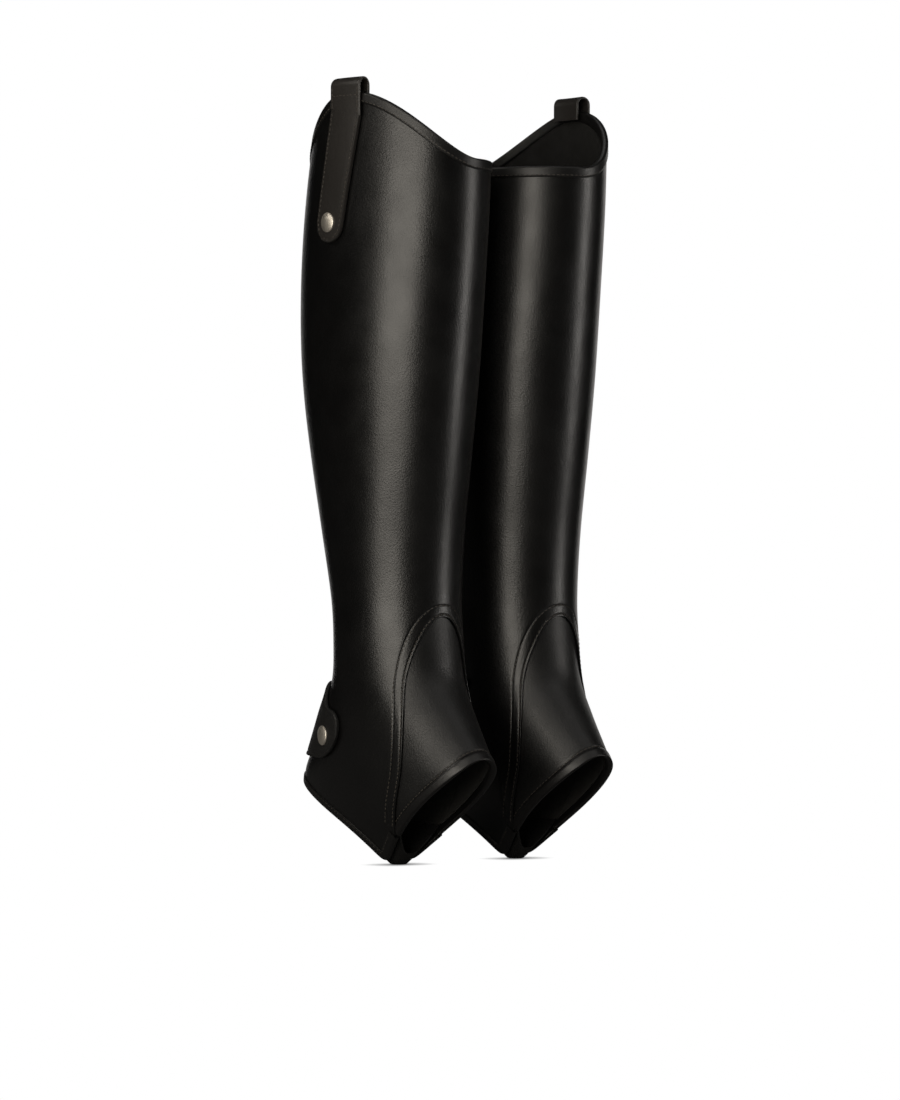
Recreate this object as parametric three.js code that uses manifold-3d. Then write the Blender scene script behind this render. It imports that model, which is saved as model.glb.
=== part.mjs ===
// A pair of tall leather riding half chaps (gaiters): millimetres, +Z up, toes towards -Y,
// the wearer's right gaiter at -X. Every wall is measured in the wearer's own terms:
// out (away from the other leg), ahead (towards the toe) and z, and angles run from the
// toe line, positive to the outer side, so that both gaiters come from one description.
import * as THREE from "three";
import { mergeVertices } from "three/addons/utils/BufferGeometryUtils.js";
import Module from "manifold-3d";

const wasm = await Module();
wasm.setup();

// ---------- driving dimensions ----------

const LEG_SPACING = 98; // between the two leg axes
const AXIS_SETBACK = -1.1; // leg axes along Y, so that the pair's box is centred

// Height, then the half depths in front and behind, and the half width, of the leg's section.
const SECTIONS = [
  [0, 88, 79, 9.5],
  [20, 88, 79.5, 20.5],
  [37, 87, 80, 27.5],
  [56, 83, 77, 31.5],
  [70, 74, 68.5, 33.5],
  [90, 60, 57, 35.5],
  [112, 46.5, 44.5, 36.5],
  [135, 42, 42.5, 37],
  [160, 40.2, 45.1, 36.8],
  [200, 42.3, 54.6, 38.4],
  [250, 48.6, 65.6, 41.4],
  [300, 54.4, 72.5, 44.5],
  [345, 59.1, 73.4, 45.4],
  [400, 64.2, 67.5, 46],
  [440, 66, 58.2, 46],
  [480, 66.6, 43, 46],
];

// The calf seam is an arc, so that the zip slider can follow it.
const CALF_ARC = { radius: 398, height: 330, ahead: 324.3, from: 250 };

const RIM = { low: 423, rise: 41, peakAngle: 85, halfSpan: 92 };
const SEAM = { apex: 150, spread: 83.5, power: 1 / 0.48 };
const VEE = { floor: 4, toeRise: 62, toePower: 0.75, heelRise: 48, heelPower: 0.52, blunt: 0.05 };
const SEAM_FOOT_ANGLE = 78; // where the instep seam meets the lower edge

// Layers, as distances outward from the leather's outer face.
const LEATHER = [-1.6, 0];
const LINING = [-3.9, -3.0];
const INSTEP_LEATHER = [-4.0, -2.5];
const INSTEP_LINING = [-6.0, -5.1];
const TAPE = [-3.3, -2.5];
const TEETH = [-1.8, -0.2];
const FLAP = [1.7, 3.6]; // straps that snap down over the leather
const TAB_ANCHOR = [0.4, 3.6];

const FIT = 0.4; // clearance between touching pieces
const EDGE_TUCK = 8; // leather lap over the instep panel
const BINDING = { thickness: 0.9, leg: 6, gap: 0.9 };
const RIM_GAP = 0.5; // the top binding's own gap
const LINING_GAP = 3; // between a lining and the binding below it
const LINING_MARGIN = 1.8; // between the calf lining and the panels beside the zip
const HEEL_BINDING_FROM = 81;

// Distances round the back from the centre seam, positive to the outer side.
const ZIP = { leatherEdge: 5, tapeEdge: 14, tooth: 2.9, split: 0.2, bottom: 66, top: 416 };
const ZIP_STRIP = [-18, -5];
const STRETCH_PANEL = [-50, -15];
const STRETCH_OPENING = -44;
const ZIP_BOX = { height: 9, halfWidth: 4, from: 55, layer: [-1.5, 1.1] };
const SLIDER = {
  height: 410, length: 11, halfWidth: 4.5, wall: 1.1, plate: [0.3, 1.7], skirt: -1.5,
};
const CROWN = { length: 7.2, height: 4, thickness: 3, post: 1.2, corner: 1, sunk: 0.2 };
const PULLER = {
  length: 30, halfWidth: 3.6, waist: 3, taper: 4, corner: 1.5, thickness: 1.4, bar: 1.4,
  window: 5.8, arm: 1.3,
};
const PULLER_AXIS = { overPlate: 1.45, up: 0.6 };

const STRAP = { halfWidth: 12, hingeHeight: 452.5, lean: 12.5, length: 79, ahead: 5.2 };
const STRAP_SNAP = 67; // snap centre, down the strap from its hinge
const LOOP = { top: 473.8, insideBottom: 456, thickness: 1.6, inner: -7.2, foot: 2 };

const TAB = {
  anchor: -60, hinge: -46, tip: 61, top: 111, low: 64, lowSlope: 0.05, round: 15, slopeFrom: 28,
  slopePower: 1.8,
};
const TAB_SNAP = { reach: 46, height: 78 };

// Half sections of the press stud's parts: radius, then height.
const CAP_PROFILE = [[0, 4], [6, 4], [6, 4.8], [4.8, 5.7], [2.4, 6.2], [0, 6.3]];
const SOCKET_PROFILE = [[3.4, 0.95], [5.4, 0.95], [5.4, 1.35], [3.4, 1.35], [3.4, 0.95]];
const STUD_PROFILE = [[0, 0.3], [5, 0.3], [5, 0.6], [1.8, 0.6], [1.8, 1.2], [0, 1.25]];

// The elastic's half section: out, then z. It widens up the walls from its flat, and lifts
// away from the ground towards the toe and the heel.
const ELASTIC = {
  top: 24,
  behind: { flat: 9, foot: 11, top: 12 },
  ahead: { flat: 8, foot: 11, top: 17 },
  lift: 3.5,
  outside: [[0, 0], [3, 0], [6.3, 3.6], [10.4, 11], [15.4, 24]],
  inside: [[0, 1.6], [2.4, 1.6], [5, 4.5], [8.9, 11.6], [13.8, 24.4]],
};

// Where the meshes have their points.
const FREE_TURN = 106;
const COLUMNS = [0, 9, 19, 30, 43, 57, 69, 78, 84, 90, 98, 106, 121, 134, 146, 157, 168, 180];
const ARCH = [0, 30, 60, 90, 120, 150, 180];
const ROUND_END = [20, 40, 60, 75, 84];
const ROWS = { shaft: 18, lining: 12, instep: 6, strip: 16, tab: 4 };
const TAB_PIECES = 13;

// ---------- materials ----------

const finish = (color, roughness, metalness = 0) =>
  new THREE.MeshStandardMaterial({ color, roughness, metalness });

const MATERIALS = {
  leather: finish(0x151313, 0.38),
  binding: finish(0x100f0f, 0.5),
  lining: finish(0x2b2a2a, 0.9),
  tab: finish(0x3a3836, 0.75),
  elastic: finish(0x171717, 0.85),
  tape: finish(0x141414, 0.8),
  teeth: finish(0x1a1a1b, 0.45),
  metal: finish(0x8d857c, 0.3, 1),
};

// ---------- the leg's shape ----------

const radians = THREE.MathUtils.degToRad;
const both = (halves) => [...halves.slice(1).map((a) => -a).reverse(), ...halves];
const steps = (from, to, count) =>
  Array.from({ length: count + 1 }, (_, i) => from + ((to - from) * i) / count);

function smoothColumn(column, z) {
  const last = SECTIONS.length - 2;
  const found = SECTIONS.findIndex((row, i) => i > 0 && z <= row[0]) - 1;
  const k = found < 0 ? last : found;
  const row = (i) => SECTIONS[THREE.MathUtils.clamp(i, 0, last + 1)];
  const [before, start, end, after] = [row(k - 1), row(k), row(k + 1), row(k + 2)];
  const span = end[0] - start[0];
  const share = (z - start[0]) / span;
  const slopeIn = ((end[column] - before[column]) / (end[0] - before[0])) * span;
  const slopeOut = ((after[column] - start[column]) / (after[0] - start[0])) * span;
  const rise = end[column] - start[column];
  const bend = (3 * rise - 2 * slopeIn - slopeOut) * share ** 2;
  const twist = (slopeIn + slopeOut - 2 * rise) * share ** 3;
  return start[column] + slopeIn * share + bend + twist;
}

function backDepth(z) {
  if (z < CALF_ARC.from) return smoothColumn(2, z);
  return Math.sqrt(CALF_ARC.radius ** 2 - (z - CALF_ARC.height) ** 2) - CALF_ARC.ahead;
}

// A point on the leg, a distance outward from the leather's outer face.
function skin(angle, z, offset) {
  const across = smoothColumn(3, z);
  const cos = Math.cos(radians(angle));
  const sin = Math.sin(radians(angle));
  const depth = cos >= 0 ? smoothColumn(1, z) : backDepth(z);
  const normal = new THREE.Vector2(sin / across, cos / depth).normalize();
  return [across * sin + offset * normal.x, depth * cos + offset * normal.y, z];
}

// How far round from the back seam, in degrees, a distance along the leather reaches.
function backAngle(reach, z) {
  const across = smoothColumn(3, z);
  const depth = backDepth(z);
  const pieces = 16;
  let angle = 0;
  for (let i = 0; i < pieces; i += 1) {
    const speed = Math.hypot(across * Math.cos(angle), depth * Math.sin(angle));
    angle += reach / pieces / speed;
  }
  return THREE.MathUtils.radToDeg(angle);
}

function backPoint(reach, z, offset) {
  const angle = 180 - backAngle(Math.abs(reach), z);
  return skin(reach < 0 ? -angle : angle, z, offset);
}

// Round the leg between two edges beside the back seam: past FREE_TURN it is squeezed to fit.
function squeeze(outerReach, innerReach) {
  return (turn, z) => {
    if (Math.abs(turn) <= FREE_TURN) return turn;
    const whole = 180 - FREE_TURN;
    const room = whole - backAngle(turn > 0 ? outerReach : innerReach, z);
    return Math.sign(turn) * (FREE_TURN + ((Math.abs(turn) - FREE_TURN) * room) / whole);
  };
}

const wrap = (squeezed) => (turn, z, offset) => skin(squeezed(turn, z), z, offset);

// ---------- edges ----------

function rimHeight(angle) {
  const away = Math.abs(angle - RIM.peakAngle) / RIM.halfSpan;
  return away >= 1 ? RIM.low : RIM.low + RIM.rise * Math.cos((away * Math.PI) / 2) ** 2;
}

function lowerEdge(angle) {
  const toe = Math.abs(angle) < 90;
  const rise = toe ? VEE.toeRise : VEE.heelRise;
  const raw = (cosine) => Math.hypot(cosine, VEE.blunt) ** (toe ? VEE.toePower : VEE.heelPower);
  return VEE.floor + (rise * (raw(Math.cos(radians(angle))) - raw(0))) / (raw(1) - raw(0));
}

const seamHeight = (angle) => SEAM.apex * (1 - (Math.abs(angle) / SEAM.spread) ** SEAM.power);

// The slope of an edge at an angle, as its rise over its run along the leather.
function edgeSlope(edge, angle) {
  const probe = 0.5;
  const z = edge(angle);
  const [a, b] = [skin(angle - probe, z, 0), skin(angle + probe, z, 0)];
  const run = Math.hypot(b[0] - a[0], b[1] - a[1]);
  return { run, slope: (edge(angle + probe) - edge(angle - probe)) / run };
}

// The same edge raised by a distance square to it, so that a piece keeps clear of it.
const raised = (edge, distance) => (angle) =>
  edge(angle) + distance * Math.hypot(1, edgeSlope(edge, angle).slope);

// An edge's height over a squeezed turn round the leg.
function over(edge, squeezed) {
  return (turn) => {
    let z = edge(turn);
    for (let i = 0; i < 4; i += 1) z = edge(squeezed(turn, z));
    return z;
  };
}

// A point beside an edge: above is measured square to it in the leather.
function edgePoint(edge, squeezed) {
  return (turn, above, offset) => {
    const edgeZ = over(edge, squeezed)(turn);
    const angle = squeezed(turn, edgeZ);
    const { run, slope } = edgeSlope(edge, angle);
    const slant = Math.hypot(1, slope);
    return skin(angle - (above * slope) / slant / run, edgeZ + above / slant, offset);
  };
}

// ---------- solids ----------

function signedVolume(points, index) {
  const [a, b, c] = [new THREE.Vector3(), new THREE.Vector3(), new THREE.Vector3()];
  let total = 0;
  for (let i = 0; i < index.length; i += 3) {
    a.fromArray(points, index[i] * 3);
    b.fromArray(points, index[i + 1] * 3);
    c.fromArray(points, index[i + 2] * 3);
    total += a.dot(b.cross(c));
  }
  return total;
}

function solid(points, index) {
  const facing = [...index];
  if (signedVolume(points, index) < 0) facing.reverse();
  const geometry = new THREE.BufferGeometry();
  geometry.setAttribute("position", new THREE.Float32BufferAttribute(points, 3));
  geometry.setIndex(facing);
  return geometry;
}

// A closed band: one path out and a second path of as many points back beside it.
const band = (outside, inside) => [...outside, ...[...inside].reverse()];

// The faces that close a band, strip by strip between its two paths.
function bandFaces(size) {
  const faces = [];
  for (let k = 0; k < size / 2 - 1; k += 1) {
    const [across, beside] = [size - 1 - k, size - 2 - k];
    faces.push([k, k + 1, beside], [k, beside, across]);
  }
  return faces;
}

// A closed solid: a band of [offset, height] pairs carried along the stations.
function sweep(side, stations, ringAt, place) {
  const rings = stations.map(ringAt);
  const size = rings[0].length;
  const points = stations.flatMap((station, i) =>
    rings[i].flatMap(([offset, height]) => {
      const [out, ahead, z] = place(station, height, offset);
      return [side * out, -ahead, z];
    }),
  );
  const index = [];
  for (let i = 0; i < stations.length - 1; i += 1) {
    for (let k = 0; k < size; k += 1) {
      const [a, b] = [i * size + k, i * size + ((k + 1) % size)];
      index.push(a, b, a + size, b, b + size, a + size);
    }
  }
  const last = (stations.length - 1) * size;
  bandFaces(size).forEach(([p, q, r]) => index.push(p, r, q, last + p, last + q, last + r));
  return solid(points, index);
}

// Rows up a tall sheet: the lowest part, round the curved heel and ankle, takes half of them.
const ANKLE_SHARE = 0.24;
const crowded = (share) =>
  share < 0.5 ? share * 2 * ANKLE_SHARE : ANKLE_SHARE + (share - 0.5) * 2 * (1 - ANKLE_SHARE);

// The ring of a sheet between two layers, from a low height to a high one.
function sheetRing([inner, outer], low, high, rows, spread = (share) => share) {
  const heights = steps(0, 1, rows).map((share) => low + (high - low) * spread(share));
  return band(
    heights.map((height) => [outer, height]),
    heights.map((height) => [inner, height]),
  );
}

// The U section folded over an edge, whose stack of layers lies between inner and outer.
function bindingRing([inner, outer], up, gap = BINDING.gap) {
  const { thickness, leg } = BINDING;
  const [near, far] = [inner - gap, outer + gap];
  const cap = up * (FIT + thickness);
  return band(
    [[far + thickness, -up * leg], [far + thickness, cap], [near - thickness, cap],
      [near - thickness, -up * leg]],
    [[far, -up * leg], [far, up * FIT], [near, up * FIT], [near, -up * leg]],
  );
}

function join(...geometries) {
  const solids = geometries.map((geometry) => {
    geometry.deleteAttribute("normal");
    geometry.deleteAttribute("uv");
    const merged = mergeVertices(geometry);
    return new wasm.Manifold(
      new wasm.Mesh({
        numProp: 3,
        vertProperties: merged.attributes.position.array,
        triVerts: Uint32Array.from(merged.index.array),
      }),
    );
  });
  const mesh = solids.reduce((all, next) => all.add(next)).getMesh();
  return solid([...mesh.vertProperties], [...mesh.triVerts]);
}

// ---------- leather, linings and bindings ----------

const wholeTurn = both(COLUMNS);
const instepTurn = wholeTurn.filter((angle) => Math.abs(angle) <= SEAM_FOOT_ANGLE);
const isInstep = (angle) => Math.abs(angle) < SEAM_FOOT_ANGLE;

const [toZip, toStretch] = [squeeze(ZIP.leatherEdge, ZIP.leatherEdge),
  squeeze(ZIP.leatherEdge, -STRETCH_OPENING)];
const insideZip = squeeze(ZIP.tapeEdge + LINING_MARGIN, -STRETCH_PANEL[0] + LINING_MARGIN);
const unsqueezed = (turn) => turn;

function shaftLeather(side) {
  const overSeam = raised(seamHeight, FIT);
  const toEdge = over(lowerEdge, toStretch);
  const low = (turn) => (isInstep(turn) ? overSeam(turn) : toEdge(turn));
  const high = over(rimHeight, toStretch);
  const ring = (turn) => sheetRing(LEATHER, low(turn), high(turn), ROWS.shaft, crowded);
  return sweep(side, wholeTurn, ring, wrap(toStretch));
}

function calfLining(side) {
  const overSeam = raised(seamHeight, EDGE_TUCK + 2 * FIT);
  const overBinding = over(raised(lowerEdge, BINDING.leg + LINING_GAP), insideZip);
  const low = (turn) => (isInstep(turn) ? overSeam(turn) : overBinding(turn));
  const high = over(rimHeight, insideZip);
  const ring = (turn) => sheetRing(LINING, low(turn), high(turn), ROWS.lining, crowded);
  return sweep(side, wholeTurn, ring, wrap(insideZip));
}

function instepSheet(side, layer, lift, tuck) {
  const low = raised(lowerEdge, lift);
  const high = raised(seamHeight, tuck);
  const ring = (angle) => sheetRing(layer, low(angle), high(angle), ROWS.instep);
  return sweep(side, instepTurn.slice(1, -1), ring, skin);
}

function topBinding(side) {
  const ring = () => bindingRing([LINING[0], LEATHER[1]], 1, RIM_GAP);
  return sweep(side, wholeTurn, ring, edgePoint(rimHeight, toZip));
}

function instepBinding(side) {
  const ring = () => bindingRing(INSTEP_LEATHER, -1);
  return sweep(side, instepTurn.slice(1, -1), ring, edgePoint(lowerEdge, unsqueezed));
}

function heelBinding(side, hand) {
  const later = COLUMNS.filter((angle) => angle > HEEL_BINDING_FROM);
  const ring = () => bindingRing(LEATHER, -1);
  const place = edgePoint(lowerEdge, toZip);
  return sweep(side, [HEEL_BINDING_FROM, ...later], ring, (angle, above, offset) => {
    const [out, ahead, z] = place(angle, above, offset);
    return [hand * out, ahead, z];
  });
}

// ---------- the zip ----------

const ZIP_LOW = BINDING.leg + 1;
const ZIP_HIGH = RIM.low - BINDING.leg - FIT;

// A strip up the back, between two distances round from the centre seam.
function backStrip(side, reaches, layer, [low, high], rows) {
  const ring = (reach) => sheetRing(layer, low(reach), high, rows, crowded);
  return sweep(side, reaches, ring, backPoint);
}

// Where a strip beside the zip starts, clear of the heel's binding.
function stripFoot(reach) {
  const edge = (z) => raised(lowerEdge, ZIP_LOW)(180 - backAngle(Math.abs(reach), z));
  return edge(edge(lowerEdge(180)));
}

function zipBox(side) {
  const { from, height, halfWidth, layer } = ZIP_BOX;
  const reaches = [-halfWidth, 0, halfWidth];
  return backStrip(side, reaches, layer, [() => from, from + height], 2);
}

function extrude(outline, depth, hole) {
  const shape = new THREE.Shape(outline.map(([x, y]) => new THREE.Vector2(x, y)));
  if (hole) shape.holes.push(new THREE.Path(hole.map(([x, y]) => new THREE.Vector2(x, y))));
  return new THREE.ExtrudeGeometry(shape, { depth, bevelEnabled: false });
}

// The slider's channel hugs the closed teeth, and its crown carries the puller. Its own frame
// is X across the zip, Y outward and Z up the zip.
function zipSlider() {
  const { length, halfWidth, wall, plate, skirt } = SLIDER;
  const inside = halfWidth - wall;
  const section = [
    [-halfWidth, skirt],
    [-inside, skirt],
    [-inside, plate[0]],
    [inside, plate[0]],
    [inside, skirt],
    [halfWidth, skirt],
    [halfWidth, plate[1]],
    [-halfWidth, plate[1]],
  ];
  const channel = extrude(section, length);
  channel.translate(0, 0, -length / 2);
  const { corner, post, sunk } = CROWN;
  const half = CROWN.length / 2;
  const [low, high] = [plate[1] - sunk, plate[1] + CROWN.height];
  const outside = [[low, -half], [low, half], [high - corner, half], [high, half - corner],
    [high, corner - half], [high - corner, -half]];
  const [foot, roof, inner] = [plate[1] + sunk / 2, high - post, half - post];
  const hole = [[foot, -inner], [foot, inner], [roof, inner], [roof, -inner]];
  const turned = (points) => points.map(([y, z]) => [z, y]);
  const crown = extrude(turned(outside), CROWN.thickness, turned(hole));
  crown.rotateY(-Math.PI / 2);
  crown.translate(CROWN.thickness / 2, 0, 0);
  return join(channel, crown);
}

// The puller hangs from the origin, its bar, down -Z, and its plate is square to Y.
function zipPuller() {
  const { length, halfWidth, waist, taper, corner, thickness, bar, window, arm } = PULLER;
  const outline = [
    [-waist, bar / 2],
    [-waist, -window - bar],
    [-halfWidth, taper - length],
    [corner - halfWidth, -length],
    [halfWidth - corner, -length],
    [halfWidth, taper - length],
    [waist, -window - bar],
    [waist, bar / 2],
  ];
  const inside = waist - arm;
  const hole = [[-inside, -bar / 2], [-inside, -window], [inside, -window], [inside, -bar / 2]];
  const plate = extrude(outline, thickness, hole);
  plate.rotateX(Math.PI / 2);
  plate.translate(0, thickness / 2, 0);
  return plate;
}

function zipSliderGroup(side, name) {
  const group = new THREE.Group();
  const [out, ahead, z] = backPoint(0, SLIDER.height, 0);
  group.position.set(side * out, -ahead, z);
  group.rotation.x = Math.asin((SLIDER.height - CALF_ARC.height) / CALF_ARC.radius);
  const slider = piece(`${name}_zip_slider`, zipSlider(), MATERIALS.metal);
  const puller = piece(`${name}_zip_puller`, zipPuller(), MATERIALS.metal);
  puller.position.set(0, SLIDER.plate[1] + PULLER_AXIS.overPlate, PULLER_AXIS.up);
  group.add(slider, puller);
  return group;
}

// ---------- top strap, pull loop and heel tab ----------

// A point on the outer side by its distance ahead of the leg axis.
function sidePoint(ahead, z, offset) {
  const depth = ahead >= 0 ? smoothColumn(1, z) : backDepth(z);
  return skin(THREE.MathUtils.radToDeg(Math.acos(ahead / depth)), z, offset);
}

// A point on the strap: down is measured from its hinge, across is towards the toe.
function strapPoint(down, across, offset) {
  const lean = radians(STRAP.lean);
  const ahead = STRAP.ahead - down * Math.sin(lean) + across * Math.cos(lean);
  const z = STRAP.hingeHeight - down * Math.cos(lean) - across * Math.sin(lean);
  return sidePoint(ahead, z, offset);
}

const roundEnd = (from, radius) => ROUND_END.map((a) => from + radius * Math.sin(radians(a)));

function topStrap(side) {
  const { length, halfWidth } = STRAP;
  const roundFrom = length - halfWidth;
  const half = (down) =>
    down <= roundFrom ? halfWidth : Math.sqrt(halfWidth ** 2 - (down - roundFrom) ** 2);
  const stations = [...steps(FIT / 2, roundFrom, 4), ...roundEnd(roundFrom, halfWidth)];
  return sweep(side, stations, (down) => sheetRing(FLAP, -half(down), half(down), 2), strapPoint);
}

function strapLoop(side) {
  const { top, insideBottom, thickness, inner } = LOOP;
  const outer = FLAP[1];
  const middle = (inner + outer) / 2;
  const start = STRAP.hingeHeight + FIT;
  const arch = (radius) =>
    ARCH.map((a) => [
      middle + radius * Math.cos(radians(a)),
      top - (outer - middle) + radius * Math.sin(radians(a)),
    ]);
  const ring = band(
    [[outer, start], ...arch(outer - middle), [inner, insideBottom]],
    [[outer - thickness, start], ...arch(outer - middle - thickness),
      [inner + thickness, insideBottom]],
  );
  const lean = Math.tan(radians(STRAP.lean));
  const place = (across, z, offset) => {
    const drop = z < STRAP.hingeHeight + LOOP.foot ? across * lean : 0;
    return sidePoint(STRAP.ahead + across, z - drop, offset);
  };
  return sweep(side, steps(-STRAP.halfWidth, STRAP.halfWidth, 3), () => ring, place);
}

function tabHigh(reach) {
  if (reach < TAB.slopeFrom) return TAB.top;
  const share = (reach - TAB.slopeFrom) / (TAB.tip - TAB.slopeFrom);
  return TAB.top - (TAB.top - TAB.low - TAB.round) * share ** TAB.slopePower;
}

function tabLow(reach) {
  const past = Math.max(0, reach - TAB.tip + TAB.round);
  const rounding = TAB.round - Math.sqrt(TAB.round ** 2 - past ** 2);
  return TAB.low + rounding + TAB.lowSlope * Math.max(0, TAB.tip - TAB.round - reach);
}

function tabStrip(side, stations, layer) {
  const ring = (reach) => sheetRing(layer, tabLow(reach), tabHigh(reach), ROWS.tab);
  return sweep(side, stations, ring, backPoint);
}

function heelTab(side) {
  const roundFrom = TAB.tip - TAB.round;
  const straight = steps(TAB.hinge + FIT, roundFrom, TAB_PIECES);
  return tabStrip(side, [...straight, ...roundEnd(roundFrom, TAB.round)], FLAP);
}

const heelTabAnchor = (side) =>
  tabStrip(side, steps(TAB.anchor, TAB.hinge - FIT, 2), TAB_ANCHOR);

// ---------- press studs ----------

// Each part stands on its own Y axis, heights measured from the leather's outer face.
const lathe = (profile) =>
  new THREE.LatheGeometry(profile.map(([r, y]) => new THREE.Vector2(r, y)), 12);

function outwardAt(place, u, v) {
  const at = (a, b, offset) => new THREE.Vector3(...place(a, b, offset));
  const along = at(u + 0.5, v, 0).sub(at(u - 0.5, v, 0));
  const up = at(u, v + 0.5, 0).sub(at(u, v - 0.5, 0));
  const normal = along.cross(up).normalize();
  const out = at(u, v, 1).sub(at(u, v, 0));
  return normal.dot(out) < 0 ? normal.negate() : normal;
}

function snapGroup(side, place, u, v, parts) {
  const group = new THREE.Group();
  const [out, ahead, z] = place(u, v, 0);
  const normal = outwardAt(place, u, v);
  group.position.set(side * out, -ahead, z);
  group.quaternion.setFromUnitVectors(
    new THREE.Vector3(0, 1, 0),
    new THREE.Vector3(side * normal.x, -normal.y, normal.z),
  );
  group.add(...parts);
  return group;
}

function snapParts(name) {
  return [
    piece(`${name}_snap_cap`, lathe(CAP_PROFILE), MATERIALS.metal),
    piece(`${name}_snap_socket`, lathe(SOCKET_PROFILE), MATERIALS.metal),
    piece(`${name}_snap_stud`, lathe(STUD_PROFILE), MATERIALS.metal),
  ];
}

// ---------- under-foot elastic ----------

function footElastic(side) {
  const whole = (half) => [...half.slice(1).map(([out, z]) => [-out, z]).reverse(), ...half];
  const ring = band(whole(ELASTIC.outside), whole(ELASTIC.inside));
  const place = (part, z, out) => {
    const { flat, foot, top } = part < 0 ? ELASTIC.behind : ELASTIC.ahead;
    const up = Math.min(z / ELASTIC.top, 1);
    const [near, far] = [flat + (foot - flat) * up, foot + (top - foot) * up];
    const past = Math.max(0, Math.abs(part) - 1);
    const ahead = Math.sign(part) * (Math.min(Math.abs(part), 1) * near + past * (far - near));
    return [out, ahead, z + ELASTIC.lift * past * (1 - up)];
  };
  return sweep(side, [-2, -1, 0, 1, 2], () => ring, place);
}

// ---------- one gaiter ----------

function piece(name, geometry, material) {
  const mesh = new THREE.Mesh(geometry, material);
  mesh.name = name;
  return mesh;
}

function gaiter(side, name) {
  const { leather, binding, lining, tab, elastic, tape, teeth } = MATERIALS;
  const group = new THREE.Group();
  group.position.set((side * LEG_SPACING) / 2, AXIS_SETBACK, 0);
  const add = (part, geometry, material) => group.add(piece(`${name}_${part}`, geometry, material));
  const { tooth, split, tapeEdge } = ZIP;
  const toothRun = [() => ZIP.bottom, ZIP.top];
  const stripRun = [stripFoot, ZIP_HIGH];

  add("shaft_leather", shaftLeather(side), leather);
  add("calf_lining", calfLining(side), lining);
  add("instep_leather", instepSheet(side, INSTEP_LEATHER, 0, EDGE_TUCK), leather);
  add("instep_lining", instepSheet(side, INSTEP_LINING, BINDING.leg + LINING_GAP, 0), lining);
  add("top_binding", topBinding(side), binding);
  add("instep_binding", instepBinding(side), binding);
  add("heel_binding_outer", heelBinding(side, 1), binding);
  add("heel_binding_inner", heelBinding(side, -1), binding);

  const strip = (reaches, layer, run) => backStrip(side, reaches, layer, run, ROWS.strip);

  add("stretch_panel", strip(steps(...STRETCH_PANEL, 5), LINING, stripRun), elastic);
  add("zip_edge_strip", strip(steps(...ZIP_STRIP, 2), LEATHER, stripRun), leather);
  add("zip_tape_outer", strip(steps(split, tapeEdge, 2), TAPE, stripRun), tape);
  add("zip_tape_inner", strip(steps(-tapeEdge, -split, 2), TAPE, stripRun), tape);
  add("zip_teeth_outer", strip([split, tooth], TEETH, toothRun), teeth);
  add("zip_teeth_inner", strip([-tooth, -split], TEETH, toothRun), teeth);
  add("zip_box", zipBox(side), teeth);
  group.add(zipSliderGroup(side, name));

  add("strap_loop", strapLoop(side), leather);
  add("strap", topStrap(side), leather);
  group.add(snapGroup(side, strapPoint, STRAP_SNAP, 0, snapParts(`${name}_strap`)));

  add("heel_tab", heelTab(side), tab);
  add("heel_tab_anchor", heelTabAnchor(side), tab);
  const { reach, height } = TAB_SNAP;
  group.add(snapGroup(side, backPoint, reach, height, snapParts(`${name}_tab`)));

  add("foot_elastic", footElastic(side), elastic);
  return group;
}

const pair = new THREE.Group();
pair.add(gaiter(-1, "right"), gaiter(1, "left"));

export default pair;
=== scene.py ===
"""Looks of a pair of black leather riding half chaps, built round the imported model.

Shapes are worked out in millimetres in the wearer's own terms, out (away from the other leg), ahead
(towards the toe) and z, and angles run from the toe line, positive to the outer side. They are turned
into metres in the frame when a mesh is made, so that both gaiters come from one description.
"""

import math

import bpy
import numpy as np
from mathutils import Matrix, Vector


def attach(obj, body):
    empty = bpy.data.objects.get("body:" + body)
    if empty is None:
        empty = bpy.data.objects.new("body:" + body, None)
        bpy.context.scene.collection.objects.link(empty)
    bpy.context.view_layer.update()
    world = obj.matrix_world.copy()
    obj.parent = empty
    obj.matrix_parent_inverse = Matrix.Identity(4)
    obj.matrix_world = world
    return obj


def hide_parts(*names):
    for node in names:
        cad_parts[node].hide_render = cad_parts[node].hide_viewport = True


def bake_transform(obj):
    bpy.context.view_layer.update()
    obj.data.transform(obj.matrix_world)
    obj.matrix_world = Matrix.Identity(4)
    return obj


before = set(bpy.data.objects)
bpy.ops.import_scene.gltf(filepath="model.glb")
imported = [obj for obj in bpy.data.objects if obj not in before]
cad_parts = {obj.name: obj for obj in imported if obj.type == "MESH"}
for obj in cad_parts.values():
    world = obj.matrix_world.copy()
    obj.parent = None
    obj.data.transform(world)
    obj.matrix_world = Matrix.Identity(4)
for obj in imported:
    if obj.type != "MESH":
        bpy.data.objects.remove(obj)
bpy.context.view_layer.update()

# ---------- driving dimensions, in millimetres ----------

MM = 0.001
SIDES = {"right": -1, "left": 1}
LEG_SPACING = 98
AXIS_SETBACK = -1.1

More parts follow.
